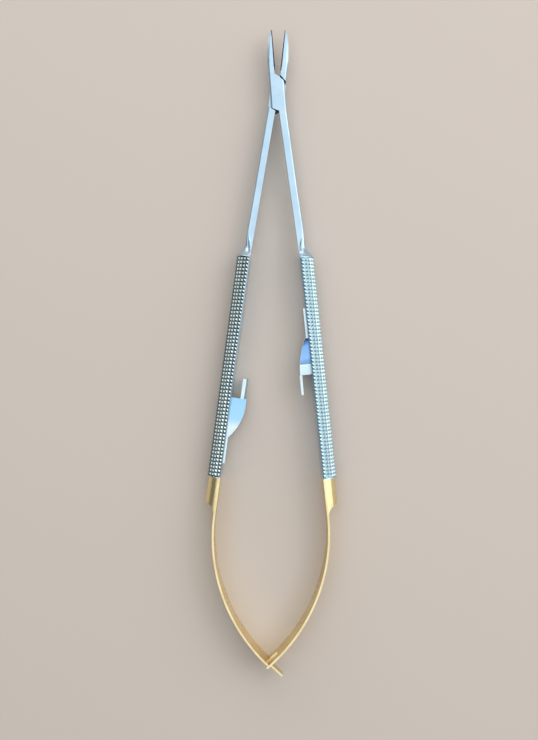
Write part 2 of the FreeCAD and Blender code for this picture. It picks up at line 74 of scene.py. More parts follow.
@dataclass(frozen=True)
class HandleFrame:
    """The line along the inner face of one handle, which the grip is drawn on.

    x runs outwards from the inner face, y along the handle towards the jaws and z up. All sizes in mm.
    """

    side: Side
    joint_y: float = 71.9043
    axis_height: float = 4.0
    open_half_angle: float = 5.7
    handle_offset: float = 1.44
    handle_angle: float = 1.1

    @property
    def body(self) -> str:
        """Name of the body that this half rides on."""
        return "upper_half" if self.side is Side.RIGHT else "lower_half"

    @property
    def other_body(self) -> str:
        """Name of the body that the other half rides on."""
        return "lower_half" if self.side is Side.RIGHT else "upper_half"

    @property
    def branch(self) -> str:
        """Name of this half's forging among the CAD nodes."""
        return "branch_upper" if self.side is Side.RIGHT else "branch_lower"

    @property
    def turn(self) -> float:
        """Angle in degrees of the handle to the middle line, seen from above."""
        angle = self.open_half_angle + self.handle_angle
        return angle if self.side is Side.RIGHT else -angle

    def matrix(self) -> Matrix:
        """The transform from this handle's own frame, in metres, to the object's frame."""
        place = Matrix.Translation((0, self.joint_y * MM, 0))
        if self.side is Side.RIGHT:
            place = place @ Matrix.Rotation(math.radians(self.open_half_angle), 4, "Z")
        else:
            up = Matrix.Translation((0, 0, self.axis_height * MM))
            flip = up @ Matrix.Rotation(math.pi, 4, "Y") @ up.inverted()
            place = place @ Matrix.Rotation(math.radians(-self.open_half_angle), 4, "Z") @ flip
        offset = Matrix.Translation((self.handle_offset * MM, 0, 0))
        return place @ offset @ Matrix.Rotation(math.radians(self.handle_angle), 4, "Z")

    def direction(self, x: float, y: float) -> Vector:
        """A level direction of this handle's frame, in the object's frame."""
        return self.matrix().to_3x3() @ Vector((x, y, 0))

    def along(self) -> Vector:
        """The direction along the handle towards the jaws."""
        return self.direction(0, 1).normalized()

    def point(self, x: float, y: float, z: float) -> Vector:
        """A point of this handle's frame in the object's frame.

        Args:
            x: distance outwards in mm.
            y: distance along the handle towards the jaws in mm.
            z: height in mm.

        Returns:
            The point in metres.
        """
        return self.matrix() @ Vector((x * MM, y * MM, z * MM))


def clear_selection() -> None:
    """Leaves edit mode and deselects every object."""
    if bpy.context.object is not None and bpy.context.object.mode != "OBJECT":
        bpy.ops.object.mode_set(mode="OBJECT")
    bpy.ops.object.select_all(action="DESELECT")


def take(piece: bpy.types.Object) -> None:
    """Makes one object the only selected and the active one.

    Args:
        piece: the object.
    """
    clear_selection()
    piece.select_set(True)
    bpy.context.view_layer.objects.active = piece


def open_edit(piece: bpy.types.Object, mode: str = "FACE") -> None:
    """Goes into edit mode with nothing selected.

    Args:
        piece: the mesh to edit.
        mode: VERT, EDGE or FACE.
    """
    take(piece)
    bpy.ops.object.mode_set(mode="EDIT")
    bpy.ops.mesh.select_mode(type=mode)
    bpy.ops.mesh.select_all(action="DESELECT")
    bpy.ops.object.mode_set(mode="OBJECT")


def pick_faces(piece: bpy.types.Object, test: Test) -> int:
    """Selects the faces that pass a test and leaves the piece in edit mode.

    Args:
        piece: the mesh.
        test: takes a face's centre and normal.

    Returns:
        How many faces are selected.
    """
    open_edit(piece, "FACE")
    count = 0
    for face in piece.data.polygons:
        face.select = test(face.center, face.normal)
        count += face.select
    bpy.ops.object.mode_set(mode="EDIT")
    return count


def pick_edges(piece: bpy.types.Object, test: Test) -> int:
    """Selects the edges that pass a test and leaves the piece in edit mode.

    Args:
        piece: the mesh.
        test: takes the edge's two ends.

    Returns:
        How many edges are selected.
    """
    open_edit(piece, "EDGE")
    count = 0
    places = [v.co.copy() for v in piece.data.vertices]
    for edge in piece.data.edges:
        edge.select = test(places[edge.vertices[0]], places[edge.vertices[1]])
        count += edge.select
    bpy.ops.object.mode_set(mode="EDIT")
    return count


def sharp_edges(piece: bpy.types.Object, angle: float) -> set[int]:
    """Finds the edges whose two faces meet at more than an angle.

    Args:
        piece: the mesh.
        angle: the angle in degrees.

    Returns:
        The edges' numbers.
    """
    open_edit(piece, "EDGE")
    bpy.ops.object.mode_set(mode="EDIT")
    bpy.ops.mesh.edges_select_sharp(sharpness=math.radians(angle))
    bpy.ops.object.mode_set(mode="OBJECT")
    return {edge.index for edge in piece.data.edges if edge.select}


def pick_sharp_edges(
        piece: bpy.types.Object, angle: float, test: Test, most: float | None = None) -> int:
    """Selects the sharp edges that pass a test and leaves the piece in edit mode.

    Args:
        piece: the mesh.
        angle: least angle in degrees between an edge's two faces.
        test: takes the edge's two ends.
        most: greatest angle in degrees, or None for no limit.

    Returns:
        How many edges are selected.
    """
    sharp = sharp_edges(piece, angle)
    if most is not None:
        sharp -= sharp_edges(piece, most)
    open_edit(piece, "EDGE")
    places = [v.co.copy() for v in piece.data.vertices]
    count = 0
    for edge in piece.data.edges:
        edge.select = edge.index in sharp and test(places[edge.vertices[0]], places[edge.vertices[1]])
        count += edge.select
    bpy.ops.object.mode_set(mode="EDIT")
    return count


def cut_length_out(piece: bpy.types.Object, near: Vector, far: Vector, along: Vector) -> tuple[float, float]:
    """Cuts a piece across at two places and deletes its faces between them.

    Args:
        piece: the mesh.
        near: the place of the cut nearer to the jaws.
        far: the place of the cut nearer to the tail.
        along: direction along the piece.

    Returns:
        The levels of the far and the near cut along that direction, in metres.
    """
    take(piece)
    bpy.ops.object.mode_set(mode="EDIT")
    for place in (near, far):
        bpy.ops.mesh.select_all(action="SELECT")
        bpy.ops.mesh.bisect(plane_co=place, plane_no=along, threshold=CUT_FIT)
    low, high = far.dot(along), near.dot(along)
    pick_faces(piece, lambda centre, _: low < centre.dot(along) < high)
    bpy.ops.mesh.delete(type="FACE")
    bpy.ops.object.mode_set(mode="OBJECT")
    return low, high


def settle(piece: bpy.types.Object, place: Matrix) -> None:
    """Puts a piece in its place and bakes that place into its mesh.

    Args:
        piece: the object.
        place: transform from the frame it was made in to the object's frame.
    """
    take(piece)
    piece.matrix_world = place @ piece.matrix_world
    bpy.context.view_layer.update()
    bpy.ops.object.transform_apply(location=True, rotation=True, scale=True)


def copy_node(node: str, name: str) -> bpy.types.Object:
    """Copies a CAD node's mesh into a new piece with its loose triangles merged.

    Args:
        node: the CAD node.
        name: name of the new piece.

    Returns:
        The new object, at the origin.
    """
    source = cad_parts[node]
    piece = bpy.data.objects.new(name, source.data.copy())
    piece.data.name = name
    piece.data.materials.clear()
    bpy.context.scene.collection.objects.link(piece)
    take(piece)
    if piece.data.has_custom_normals:
        bpy.ops.mesh.customdata_custom_splitnormals_clear()
    bpy.ops.object.mode_set(mode="EDIT")
    bpy.ops.mesh.select_all(action="SELECT")
    bpy.ops.mesh.remove_doubles(threshold=0.002 * MM)
    bpy.ops.object.mode_set(mode="OBJECT")
    return piece


# Finishes


class NodeSheet:
    """A material's or group's node tree, with short ways to add and join nodes."""

    def __init__(self, tree: bpy.types.NodeTree) -> None:
        """Starts on a tree.

        Args:
            tree: the node tree to add to.
        """
        self.tree = tree
        self.column = 0

    def add(self, kind: str, **settings: object) -> bpy.types.Node:
        """Adds a node.

        Args:
            kind: the node's type name.
            **settings: its properties, or for names that start with in_ the value of that socket number.

        Returns:
            The node.
        """
        node = self.tree.nodes.new(kind)
        self.column += 1
        node.location = (180 * self.column, -60 * (self.column % 5))
        for key, value in settings.items():
            if key.startswith("in_"):
                node.inputs[int(key[3:])].default_value = value
            else:
                setattr(node, key, value)
        return node

    def join(self, start: Socket, end: Socket) -> None:
        """Links one socket to another."""
        self.tree.links.new(start, end)

    def group(self, tree: bpy.types.NodeTree, **values: float) -> bpy.types.Node:
        """Places a node group.

        Args:
            tree: the group.
            **values: its inputs' values by name.

        Returns:
            The group node.
        """
        node = self.add("ShaderNodeGroup", node_tree=tree)
        for key, value in values.items():
            node.inputs[key].default_value = value
        return node


def new_group(
        name: str, inputs: dict[str, float | None],
        outputs: list[str]) -> tuple[NodeSheet, bpy.types.Node, bpy.types.Node]:
    """Makes an empty shader node group.

    Args:
        name: its name.
        inputs: socket names with their values, None for a vector.
        outputs: names of its number outputs.

    Returns:
        The sheet, its input node and its output node.
    """
    tree = bpy.data.node_groups.new(name, "ShaderNodeTree")
    for key, value in inputs.items():
        kind = "NodeSocketVector" if value is None else "NodeSocketFloat"
        socket = tree.interface.new_socket(name=key, in_out="INPUT", socket_type=kind)
        if value is not None:
            socket.default_value = value
    for key in outputs:
        tree.interface.new_socket(name=key, in_out="OUTPUT", socket_type="NodeSocketFloat")
    sheet = NodeSheet(tree)
    return sheet, sheet.add("NodeGroupInput"), sheet.add("NodeGroupOutput")


@dataclass
class SharedEffects:
    """The node groups that more than one finish uses."""

    grain: bpy.types.NodeTree = field(init=False)
    handling: bpy.types.NodeTree = field(init=False)
    edge: bpy.types.NodeTree = field(init=False)

    def build(self) -> None:
        """Makes every group once."""
        self.grain = self.build_grain()
        self.handling = self.build_handling()
        self.edge = self.build_edge_wear_and_highlight()

    def build_grain(self) -> bpy.types.NodeTree:
        """Makes the fine lines that a polishing wheel leaves.

        Returns:
            A group with the height of the lines, stretched along y.
        """
        inputs = {"Vector": None, "Across": 12000.0, "Along": 500.0}
        sheet, start, end = new_group("polishing_lines", inputs, ["Height"])
        scale = sheet.add("ShaderNodeCombineXYZ")
        sheet.join(start.outputs["Across"], scale.inputs[0])
        sheet.join(start.outputs["Along"], scale.inputs[1])
        sheet.join(start.outputs["Across"], scale.inputs[2])
        stretch = sheet.add("ShaderNodeVectorMath", operation="MULTIPLY")
        sheet.join(start.outputs["Vector"], stretch.inputs[0])
        sheet.join(scale.outputs[0], stretch.inputs[1])
        lines = sheet.add("ShaderNodeTexNoise", noise_dimensions="3D")
        lines.inputs["Scale"].default_value = 1.0
        lines.inputs["Detail"].default_value = 3.0
        lines.inputs["Roughness"].default_value = 0.6
        sheet.join(stretch.outputs[0], lines.inputs["Vector"])
        sheet.join(lines.outputs["Fac"], end.inputs["Height"])
        return sheet.tree

    def build_handling(self) -> bpy.types.NodeTree:
        """Makes the soft patches that handling and wiping leave.

        Returns:
            A group with a mask from 0 to 1.
        """
        inputs = {"Vector": None, "Scale": 180.0, "Low": 0.4, "High": 0.65}
        sheet, start, end = new_group("handling_patches", inputs, ["Mask"])
        patches = sheet.add("ShaderNodeTexNoise", noise_dimensions="3D")
        patches.inputs["Detail"].default_value = 4.0
        sheet.join(start.outputs["Vector"], patches.inputs["Vector"])
        sheet.join(start.outputs["Scale"], patches.inputs["Scale"])
        spread = sheet.add("ShaderNodeMapRange", clamp=True)
        sheet.join(patches.outputs["Fac"], spread.inputs["Value"])
        sheet.join(start.outputs["Low"], spread.inputs["From Min"])
        sheet.join(start.outputs["High"], spread.inputs["From Max"])
        sheet.join(spread.outputs[0], end.inputs["Mask"])
        return sheet.tree

    def build_edge_wear_and_highlight(self) -> bpy.types.NodeTree:
        """Makes the mask of edges that are painted bright: partly rubbed wear, partly a painted edge
        highlight.

        Returns:
            A group with a mask from 0 to 1, from the bend between the flat and the rounded normal.
        """
        sheet, start, end = new_group("rubbed_and_highlit_edges", {"Radius": 0.00012, "Gain": 4.0}, ["Mask"])
        rounded = sheet.add("ShaderNodeBevel", samples=4)
        sheet.join(start.outputs["Radius"], rounded.inputs["Radius"])
        flat = sheet.add("ShaderNodeNewGeometry")
        dot = sheet.add("ShaderNodeVectorMath", operation="DOT_PRODUCT")
        sheet.join(rounded.outputs[0], dot.inputs[0])
        sheet.join(flat.outputs["Normal"], dot.inputs[1])
        bend = sheet.add("ShaderNodeMath", operation="SUBTRACT", in_0=1.0)
        sheet.join(dot.outputs["Value"], bend.inputs[1])
        gain = sheet.add("ShaderNodeMath", operation="MULTIPLY", use_clamp=True)
        sheet.join(bend.outputs[0], gain.inputs[0])
        sheet.join(start.outputs["Gain"], gain.inputs[1])
        sheet.join(gain.outputs[0], end.inputs["Mask"])
        return sheet.tree


@dataclass(frozen=True)
class MetalFinish:
    """A bare or plated metal surface with polishing lines, handling patches, and edges painted bright:
    partly rubbed wear, partly a painted edge highlight.

    Colours are linear red, green and blue. Depths in mm.
    """

    name: str
    colour: Colour
    patch_colour: Colour
    edge_wear_and_highlight_colour: Colour
    roughness: float = 0.3
    patch_roughness: float = 0.38
    edge_roughness: float = 0.2
    line_depth: float = 0.002
    across: float = 12000.0
    along: float = 500.0
    patch_scale: float = 180.0
    edge_radius: float = 0.12
    turn: float = 0.0

    def coordinates(self, sheet: NodeSheet) -> Socket:
        """Object coordinates turned so that y runs along the piece.

        Args:
            sheet: the material's node sheet.

        Returns:
            The vector socket.
        """
        place = sheet.add("ShaderNodeTexCoord")
        turned = sheet.add("ShaderNodeMapping", vector_type="POINT")
        turned.inputs["Rotation"].default_value = (0, 0, math.radians(-self.turn))
        sheet.join(place.outputs["Object"], turned.inputs["Vector"])
        return turned.outputs[0]

    def material(self, effects: SharedEffects) -> bpy.types.Material:
        """Makes the material.

        Args:
            effects: the shared node groups.

        Returns:
            The material.
        """
        made = bpy.data.materials.new(self.name)
        made.use_nodes = True
        made.node_tree.nodes.clear()
        sheet = NodeSheet(made.node_tree)
        vector = self.coordinates(sheet)
        lines = sheet.group(effects.grain, Across=self.across, Along=self.along)
        sheet.join(vector, lines.inputs["Vector"])
        patches = sheet.group(effects.handling, Scale=self.patch_scale)
        sheet.join(vector, patches.inputs["Vector"])
        edges = sheet.group(effects.edge, Radius=self.edge_radius * MM)
        # The edges are painted brighter: partly rubbed wear, partly a painted edge highlight.
        second = sheet.add("ShaderNodeMix", data_type="RGBA")
        second.inputs[COLOUR_B].default_value = (*self.edge_wear_and_highlight_colour, 1)
        sheet.join(self.tint(sheet, vector, patches.outputs["Mask"]), second.inputs[COLOUR_A])
        sheet.join(edges.outputs["Mask"], second.inputs[MIX_FACTOR])
        rough = sheet.add("ShaderNodeMix", data_type="FLOAT")
        rough.inputs[NUMBER_A].default_value = self.roughness
        rough.inputs[NUMBER_B].default_value = self.patch_roughness
        sheet.join(patches.outputs["Mask"], rough.inputs[MIX_FACTOR])
        rubbed = sheet.add("ShaderNodeMix", data_type="FLOAT")
        rubbed.inputs[NUMBER_B].default_value = self.edge_roughness
        sheet.join(rough.outputs[NUMBER_MIXED], rubbed.inputs[NUMBER_A])
        sheet.join(edges.outputs["Mask"], rubbed.inputs[MIX_FACTOR])
        bump = sheet.add("ShaderNodeBump")
        bump.inputs["Strength"].default_value = 1.0
        bump.inputs["Distance"].default_value = self.line_depth * MM
        sheet.join(self.height(sheet, vector, lines.outputs["Height"]), bump.inputs["Height"])
        shader = sheet.add("ShaderNodeBsdfPrincipled")
        shader.inputs["Metallic"].default_value = 1.0
        sheet.join(second.outputs[COLOUR_MIXED], shader.inputs["Base Color"])
        sheet.join(rubbed.outputs[NUMBER_MIXED], shader.inputs["Roughness"])
        sheet.join(bump.outputs[0], shader.inputs["Normal"])
        output = sheet.add("ShaderNodeOutputMaterial")
        sheet.join(shader.outputs[0], output.inputs["Surface"])
        return made

    def tint(self, sheet: NodeSheet, vector: Socket, patches: Socket) -> Socket:
        """The colour of the surface apart from its edges.

        Args:
            sheet: the material's node sheet.
            vector: its coordinates.
            patches: mask of the handling patches.

        Returns:
            The colour socket.
        """
        mixed = sheet.add("ShaderNodeMix", data_type="RGBA")
        mixed.inputs[COLOUR_A].default_value = (*self.colour, 1)
        mixed.inputs[COLOUR_B].default_value = (*self.patch_colour, 1)
        sheet.join(patches, mixed.inputs[MIX_FACTOR])
        return mixed.outputs[COLOUR_MIXED]

    def height(self, sheet: NodeSheet, vector: Socket, lines: Socket) -> Socket:
        """The relief of the surface.

        Args:
            sheet: the material's node sheet.
            vector: its coordinates.
            lines: height of the polishing lines.

        Returns:
            The height socket.
        """
        return lines


@dataclass(frozen=True)
class PaintedReflectionFinish(MetalFinish):
    """Spring steel with a painted reflection that changes along the piece: a blue painted sky reflection
    with painted dark and pale parts.
    """

    start: float = 0.0
    finish: float = 1.0
    stops: tuple[tuple[float, Colour], ...] = ()
    unevenness: float = 0.12

    def tint(self, sheet: NodeSheet, vector: Socket, patches: Socket) -> Socket:
        """The painted reflection from one end of the block's top to the other, a little uneven.

        Args:
            sheet: the material's node sheet.
            vector: its coordinates.
            patches: mask of the handling patches.

        Returns:
            The colour socket.
        """
        parts = sheet.add("ShaderNodeSeparateXYZ")
        sheet.join(vector, parts.inputs[0])
        level = sheet.add("ShaderNodeMapRange", clamp=True)
        level.inputs["From Min"].default_value = self.start
        level.inputs["From Max"].default_value = self.finish
        sheet.join(parts.outputs["Y"], level.inputs["Value"])
        uneven = sheet.add("ShaderNodeMath", operation="MULTIPLY_ADD", in_1=self.unevenness)
        sheet.join(patches, uneven.inputs[0])
        sheet.join(level.outputs[0], uneven.inputs[2])
        ramp = sheet.add("ShaderNodeValToRGB")
        marks = ramp.color_ramp.elements
        while len(marks) < len(self.stops):
            marks.new(0.5)
        for mark, (place, colour) in zip(marks, self.stops):
            mark.position = place
            mark.color = (*colour, 1)
        sheet.join(uneven.outputs[0], ramp.inputs[0])
        return ramp.outputs[0]


@dataclass(frozen=True)
class CutFinish(MetalFinish):
    """Steel cut into pyramids, with painted shade that darkens it from the tips down into the grooves.

    The tint follows the distance from the handle's round axis. Distances in metres.
    """

    groove_shade_colour: Colour = (0.05, 0.08, 0.08)
    axis_x: float = 0.0
    axis_z: float = 0.004
    groove_level: float = 0.0037
    tip_level: float = 0.0039

    def tint(self, sheet: NodeSheet, vector: Socket, patches: Socket) -> Socket:
        """The colour from the painted shade in the grooves up to the tips.

        Args:
            sheet: the material's node sheet.
            vector: its coordinates.
            patches: mask of the handling patches.

        Returns:
            The colour socket.
        """
        flat = sheet.add("ShaderNodeVectorMath", operation="MULTIPLY_ADD")
        flat.inputs[1].default_value = (1, 0, 1)
        flat.inputs[2].default_value = (-self.axis_x, 0, -self.axis_z)
        sheet.join(vector, flat.inputs[0])
        reach = sheet.add("ShaderNodeVectorMath", operation="LENGTH")
        sheet.join(flat.outputs[0], reach.inputs[0])
        level = sheet.add("ShaderNodeMapRange", clamp=True)
        level.inputs["From Min"].default_value = self.groove_level
        level.inputs["From Max"].default_value = self.tip_level
        sheet.join(reach.outputs["Value"], level.inputs["Value"])
        # Painted shade: the colour darkens from the tips towards the groove shade colour down in the
        # grooves.
        mixed = sheet.add("ShaderNodeMix", data_type="RGBA")
        mixed.inputs[COLOUR_A].default_value = (*self.groove_shade_colour, 1)
        sheet.join(super().tint(sheet, vector, patches), mixed.inputs[COLOUR_B])
        sheet.join(level.outputs[0], mixed.inputs[MIX_FACTOR])
        return mixed.outputs[COLOUR_MIXED]


@dataclass(frozen=True)
class CarbideFinish(MetalFinish):
    """The dark gripping face with its small crossed teeth."""

    tooth_pitch: float = 0.4
    tooth_lean: float = 45.0
    tooth_depth: float = 4.0
    wave_turn: float = 6.28

    def height(self, sheet: NodeSheet, vector: Socket, lines: Socket) -> Socket:
        """The relief of two crossed sets of grooves.

        Args:
            sheet: the material's node sheet.
            vector: its coordinates.
            lines: height of the polishing lines.

        Returns:
            The height socket.
        """
        sets = []
        for lean in (self.tooth_lean, -self.tooth_lean):
            turned = sheet.add("ShaderNodeMapping", vector_type="POINT")
            turned.inputs["Rotation"].default_value = (math.radians(lean), 0, 0)
            sheet.join(vector, turned.inputs["Vector"])
            waves = sheet.add("ShaderNodeTexWave", bands_direction="Y", wave_profile="SAW")
            waves.inputs["Scale"].default_value = 1 / (self.tooth_pitch * MM) / self.wave_turn * 2
            sheet.join(turned.outputs[0], waves.inputs["Vector"])
            sets.append(waves)
        both = sheet.add("ShaderNodeMath", operation="MULTIPLY")
        sheet.join(sets[0].outputs["Fac"], both.inputs[0])
        sheet.join(sets[1].outputs["Fac"], both.inputs[1])
        sum_up = sheet.add("ShaderNodeMath", operation="MULTIPLY_ADD", in_1=self.tooth_depth)
        sheet.join(both.outputs[0], sum_up.inputs[0])
        sheet.join(lines, sum_up.inputs[2])
        return sum_up.outputs[0]


# The blue in these steel colours is a painted reflection of a blue sky.
STEEL = {
    "colour": (0.52, 0.68, 0.80),
    "patch_colour": (0.46, 0.63, 0.77),
    "edge_wear_and_highlight_colour": (0.84, 0.92, 0.95),
}
# The knurling: one steel given different painted light on each handle. The left grip is painted brighter,
# with near-black painted shade in its grooves; the right grip is painted duller, with light painted shade in
# its grooves.
CUT_STEEL_PAINTED_LIGHT = {
    Side.RIGHT: {
        "colour": (0.58, 0.76, 0.83),
        "patch_colour": (0.52, 0.71, 0.79),
        "edge_wear_and_highlight_colour": (0.70, 0.85, 0.90),
        "groove_shade_colour": (0.46, 0.64, 0.70),
        "roughness": 0.3,
        "patch_roughness": 0.36,
    },
    Side.LEFT: {
        "colour": (0.76, 0.90, 0.92),
        "patch_colour": (0.68, 0.83, 0.86),
        "edge_wear_and_highlight_colour": (0.92, 0.97, 0.98),
        "groove_shade_colour": (0.02, 0.05, 0.05),
        "roughness": 0.15,
        "patch_roughness": 0.2,
    },
}
SPRING_STEEL = {
    "colour": (0.28, 0.50, 0.79),
    "patch_colour": (0.24, 0.45, 0.75),
    "edge_wear_and_highlight_colour": (0.88, 0.94, 0.97),
}
# The catches' steel outside the block tops, painted paler than the other steel as a highlight, as on the
# land behind the crease.
LAND_HIGHLIGHT_STEEL = {
    "colour": (0.70, 0.82, 0.86),
    "patch_colour": (0.62, 0.76, 0.82),
    "edge_wear_and_highlight_colour": (0.92, 0.96, 0.97),
}
# The gold's pale edge colour is a painted glint along the top edges of the leaves.
GOLD = {
    "colour": (0.88, 0.73, 0.40),
    "patch_colour": (0.80, 0.63, 0.31),
    "edge_wear_and_highlight_colour": (1.0, 0.93, 0.70),
}


# Sub-assemblies

# Where each catch's blue top starts and ends, back from the joint along its handle, the depth of
# the crease beside it, and the line that its hook would spring along, in mm.
BLOCKS = {Side.RIGHT: (68.4, 75.3, 0.2, 77.0, 115.0), Side.LEFT: (85.2, 93.6, 0.0, 86.5, 48.5)}

# The painted reflection on each block's top from its start to its end: a blue painted sky reflection,
# near-black at the right block's start and a pale painted highlight at the left block's end.
BLOCK_REFLECTIONS = {
    Side.RIGHT: (
        (0.0, (0.01, 0.02, 0.06)),
        (0.16, (0.05, 0.09, 0.25)),
        (0.32, (0.22, 0.42, 0.78)),
        (0.8, (0.28, 0.50, 0.84)),
        (1.0, (0.18, 0.36, 0.66)),
    ),
    Side.LEFT: (
        (0.0, (0.30, 0.56, 0.85)),
        (0.15, (0.34, 0.62, 0.90)),
        (0.7, (0.38, 0.64, 0.91)),
        (1.0, (0.72, 0.82, 0.92)),
    ),
}


@dataclass
class Forging:
    """One half of the instrument in steel, from its jaw to the end of its knurled grip.

    The grip is cut with rings and lengthwise grooves that leave small pyramids. All sizes in mm.
    """

    line: HandleFrame
    effects: SharedEffects
    back_reach: float = 8.0
    back_round: float = 0.14
    shoulder_reach: float = 6.4
    neck_start: float = 38.8
    neck_end: float = 45.95
    rim_edge: float = 0.45
    cut_start: float = 46.15
    cut_end: float = 107.45
    knurl_start: float = 46.3
    pitch: float = 1.0
    rows: int = 61
    columns: int = 12
    groove_radius: float = 3.7
    outer_radius: float = 3.98
    tip_radius: float = 4.0
    end_reach: float = 0.2
    axis_height: float = 4.0
    inner_face: float = 0.01
    smooth_angle: float = 24.0
    edge_break: float = 0.5

    def build(self) -> bpy.types.Object:
        """Makes the half, dresses it and lets it ride on its body.

        Returns:
            The finished piece.
        """
        name = f"forging_{self.line.side.value}"
        ends = self.blend_neck(self.cut_out_grip(self.round_back(copy_node(self.line.branch, name))))
        grip = self.cut_knurling(f"grip_{self.line.side.value}")
        settle(grip, self.line.matrix())
        ends.data.materials.append(self.satin().material(self.effects))
        ends.data.materials.append(self.shoulder_shade_finish().material(self.effects))
        self.paint_shoulder_shade(ends)
        grip.data.materials.append(self.knurled().material(self.effects))
        grip.data.materials.append(ends.data.materials[0])
        inward = self.line.direction(-1, 0)
        pick_faces(grip, lambda _, normal: normal.dot(inward) > 0.55)
        grip.active_material_index = 1
        bpy.ops.object.material_slot_assign()
        take(grip)
        ends.select_set(True)
        bpy.context.view_layer.objects.active = ends
        bpy.ops.object.join()
        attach(ends, self.line.body)
        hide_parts(self.line.branch)
        log.info("%s: %d faces", name, len(ends.data.polygons))
        return ends

    def satin(self) -> MetalFinish:
        """The brushed finish of jaw, joint and shank."""
        return MetalFinish(
            f"satin_steel_{self.line.side.value}", roughness=0.28, line_depth=0.004,
            turn=self.line.turn, **STEEL)

    def shoulder_shade_finish(self) -> MetalFinish:
        """Painted shade on the joint's inner shoulders: a dark, dull steel that stands in for the shade
        there.
        """
        return MetalFinish(
            f"shoulder_shade_steel_{self.line.side.value}", colour=(0.07, 0.08, 0.09),
            patch_colour=(0.05, 0.05, 0.06), edge_wear_and_highlight_colour=(0.20, 0.22, 0.24), roughness=0.5,
            patch_roughness=0.6, line_depth=0.004, edge_radius=0.04)

    def paint_shoulder_shade(self, piece: bpy.types.Object) -> None:
        """Paints shade on the steep inner shoulders of the lap joint with the second, dark finish.

        Args:
            piece: the forging with both finishes in its slots.
        """
        joint = Vector((0, self.line.joint_y * MM, self.axis_height * MM))
        reach = self.shoulder_reach * MM
        pick_faces(piece, lambda centre, normal: (
            (centre - joint).length < reach and abs(normal.z) < 0.3 and abs(normal.y) > 0.45))
        piece.active_material_index = 1
        bpy.ops.object.material_slot_assign()
        bpy.ops.object.mode_set(mode="OBJECT")

    def round_back(self, piece: bpy.types.Object) -> bpy.types.Object:
        """Rounds both edges of the bevel along the back of jaw and plate.

        Args:
            piece: a merged copy of the forging.

        Returns:
            The same piece.
        """
        least = (self.line.joint_y - self.back_reach) * MM
        pick_sharp_edges(
            piece, 34.0, lambda a, b: min(a.y, b.y) > least and (a - b).length > 0.3 * MM, 56.0)
        bpy.ops.mesh.bevel(offset=self.back_round * MM, segments=3, affect="EDGES", clamp_overlap=True)
        bpy.ops.object.mode_set(mode="OBJECT")
        return piece

    def blend_neck(self, piece: bpy.types.Object) -> bpy.types.Object:
        """Replaces the neck by one smooth sweep from the flat shank to the half-round.

        Args:
            piece: the forging without its grip.

        Returns:
            The same piece.
        """
        along = self.line.along()
        near = self.line.point(0, -self.neck_start, self.axis_height)
        far = self.line.point(0, -self.neck_end, self.axis_height)
        low, high = cut_length_out(piece, near, far, along)
        # The long edges of both rims are halved until short, so that the sweep has even points.
        for least in (self.rim_edge * MM,) * 5 + (0.0,):
            pick_edges(piece, lambda a, b: (a - b).length > least and any(
                abs(a.dot(along) - level) < ON_CUT and abs(b.dot(along) - level) < ON_CUT
                for level in (low, high)))
            if least:
                bpy.ops.mesh.subdivide(number_cuts=1)
                bpy.ops.object.mode_set(mode="OBJECT")
        bpy.ops.mesh.bridge_edge_loops(number_cuts=10, interpolation="SURFACE", smoothness=1.0)
        bpy.ops.mesh.select_all(action="SELECT")
        bpy.ops.mesh.normals_make_consistent(inside=False)
        bpy.ops.object.mode_set(mode="OBJECT")
        # Only the round side is smoothed: the flat inner face stays as it is.
        margin = 0.1 * MM
        inner = self.line.matrix().inverted()
        pick_edges(piece, lambda a, b: all(
            low + margin < p.dot(along) < high - margin and (inner @ p).x > 0.2 * MM for p in (a, b)))
        bpy.ops.mesh.vertices_smooth(factor=0.5, repeat=8)
        bpy.ops.object.mode_set(mode="OBJECT")
        bpy.ops.object.shade_smooth_by_angle(angle=math.radians(self.smooth_angle))
        pick_edges(piece, lambda a, b: all(
            low - margin < p.dot(along) < high + margin and (inner @ p).x > 0.2 * MM for p in (a, b)))
        bpy.ops.mesh.mark_sharp(clear=True)
        bpy.ops.object.mode_set(mode="OBJECT")
        return piece

    def knurled(self) -> CutFinish:
        """The finish of the cut pyramids, with painted shade in their grooves and the painted light of this
        handle.
        """
        across = self.line.direction(1, 0).normalized()
        axis = self.line.point(0, 0, self.axis_height).dot(across)
        return CutFinish(
            f"cut_steel_{self.line.side.value}", line_depth=0.001, edge_radius=0.03,
            turn=self.line.turn, axis_x=axis if across.x > 0 else -axis,
            axis_z=self.axis_height * MM, **CUT_STEEL_PAINTED_LIGHT[self.line.side])

    def cut_out_grip(self, piece: bpy.types.Object) -> bpy.types.Object:
        """Cuts the ringed length out of the forging's mesh and closes both cuts.

        Args:
            piece: a merged copy of the forging.

        Returns:
            The same piece.
        """
        along = self.line.along()
        near = self.line.point(0, -self.cut_start, self.axis_height)
        far = self.line.point(0, -self.cut_end, self.axis_height)
        for level in cut_length_out(piece, near, far, along):
            pick_edges(piece, lambda a, b: (
                abs(a.dot(along) - level) < ON_CUT and abs(b.dot(along) - level) < ON_CUT))
            bpy.ops.mesh.fill(use_beauty=False)
            bpy.ops.object.mode_set(mode="OBJECT")
        take(piece)
        bpy.ops.object.shade_smooth_by_angle(angle=math.radians(self.smooth_angle))
        return piece

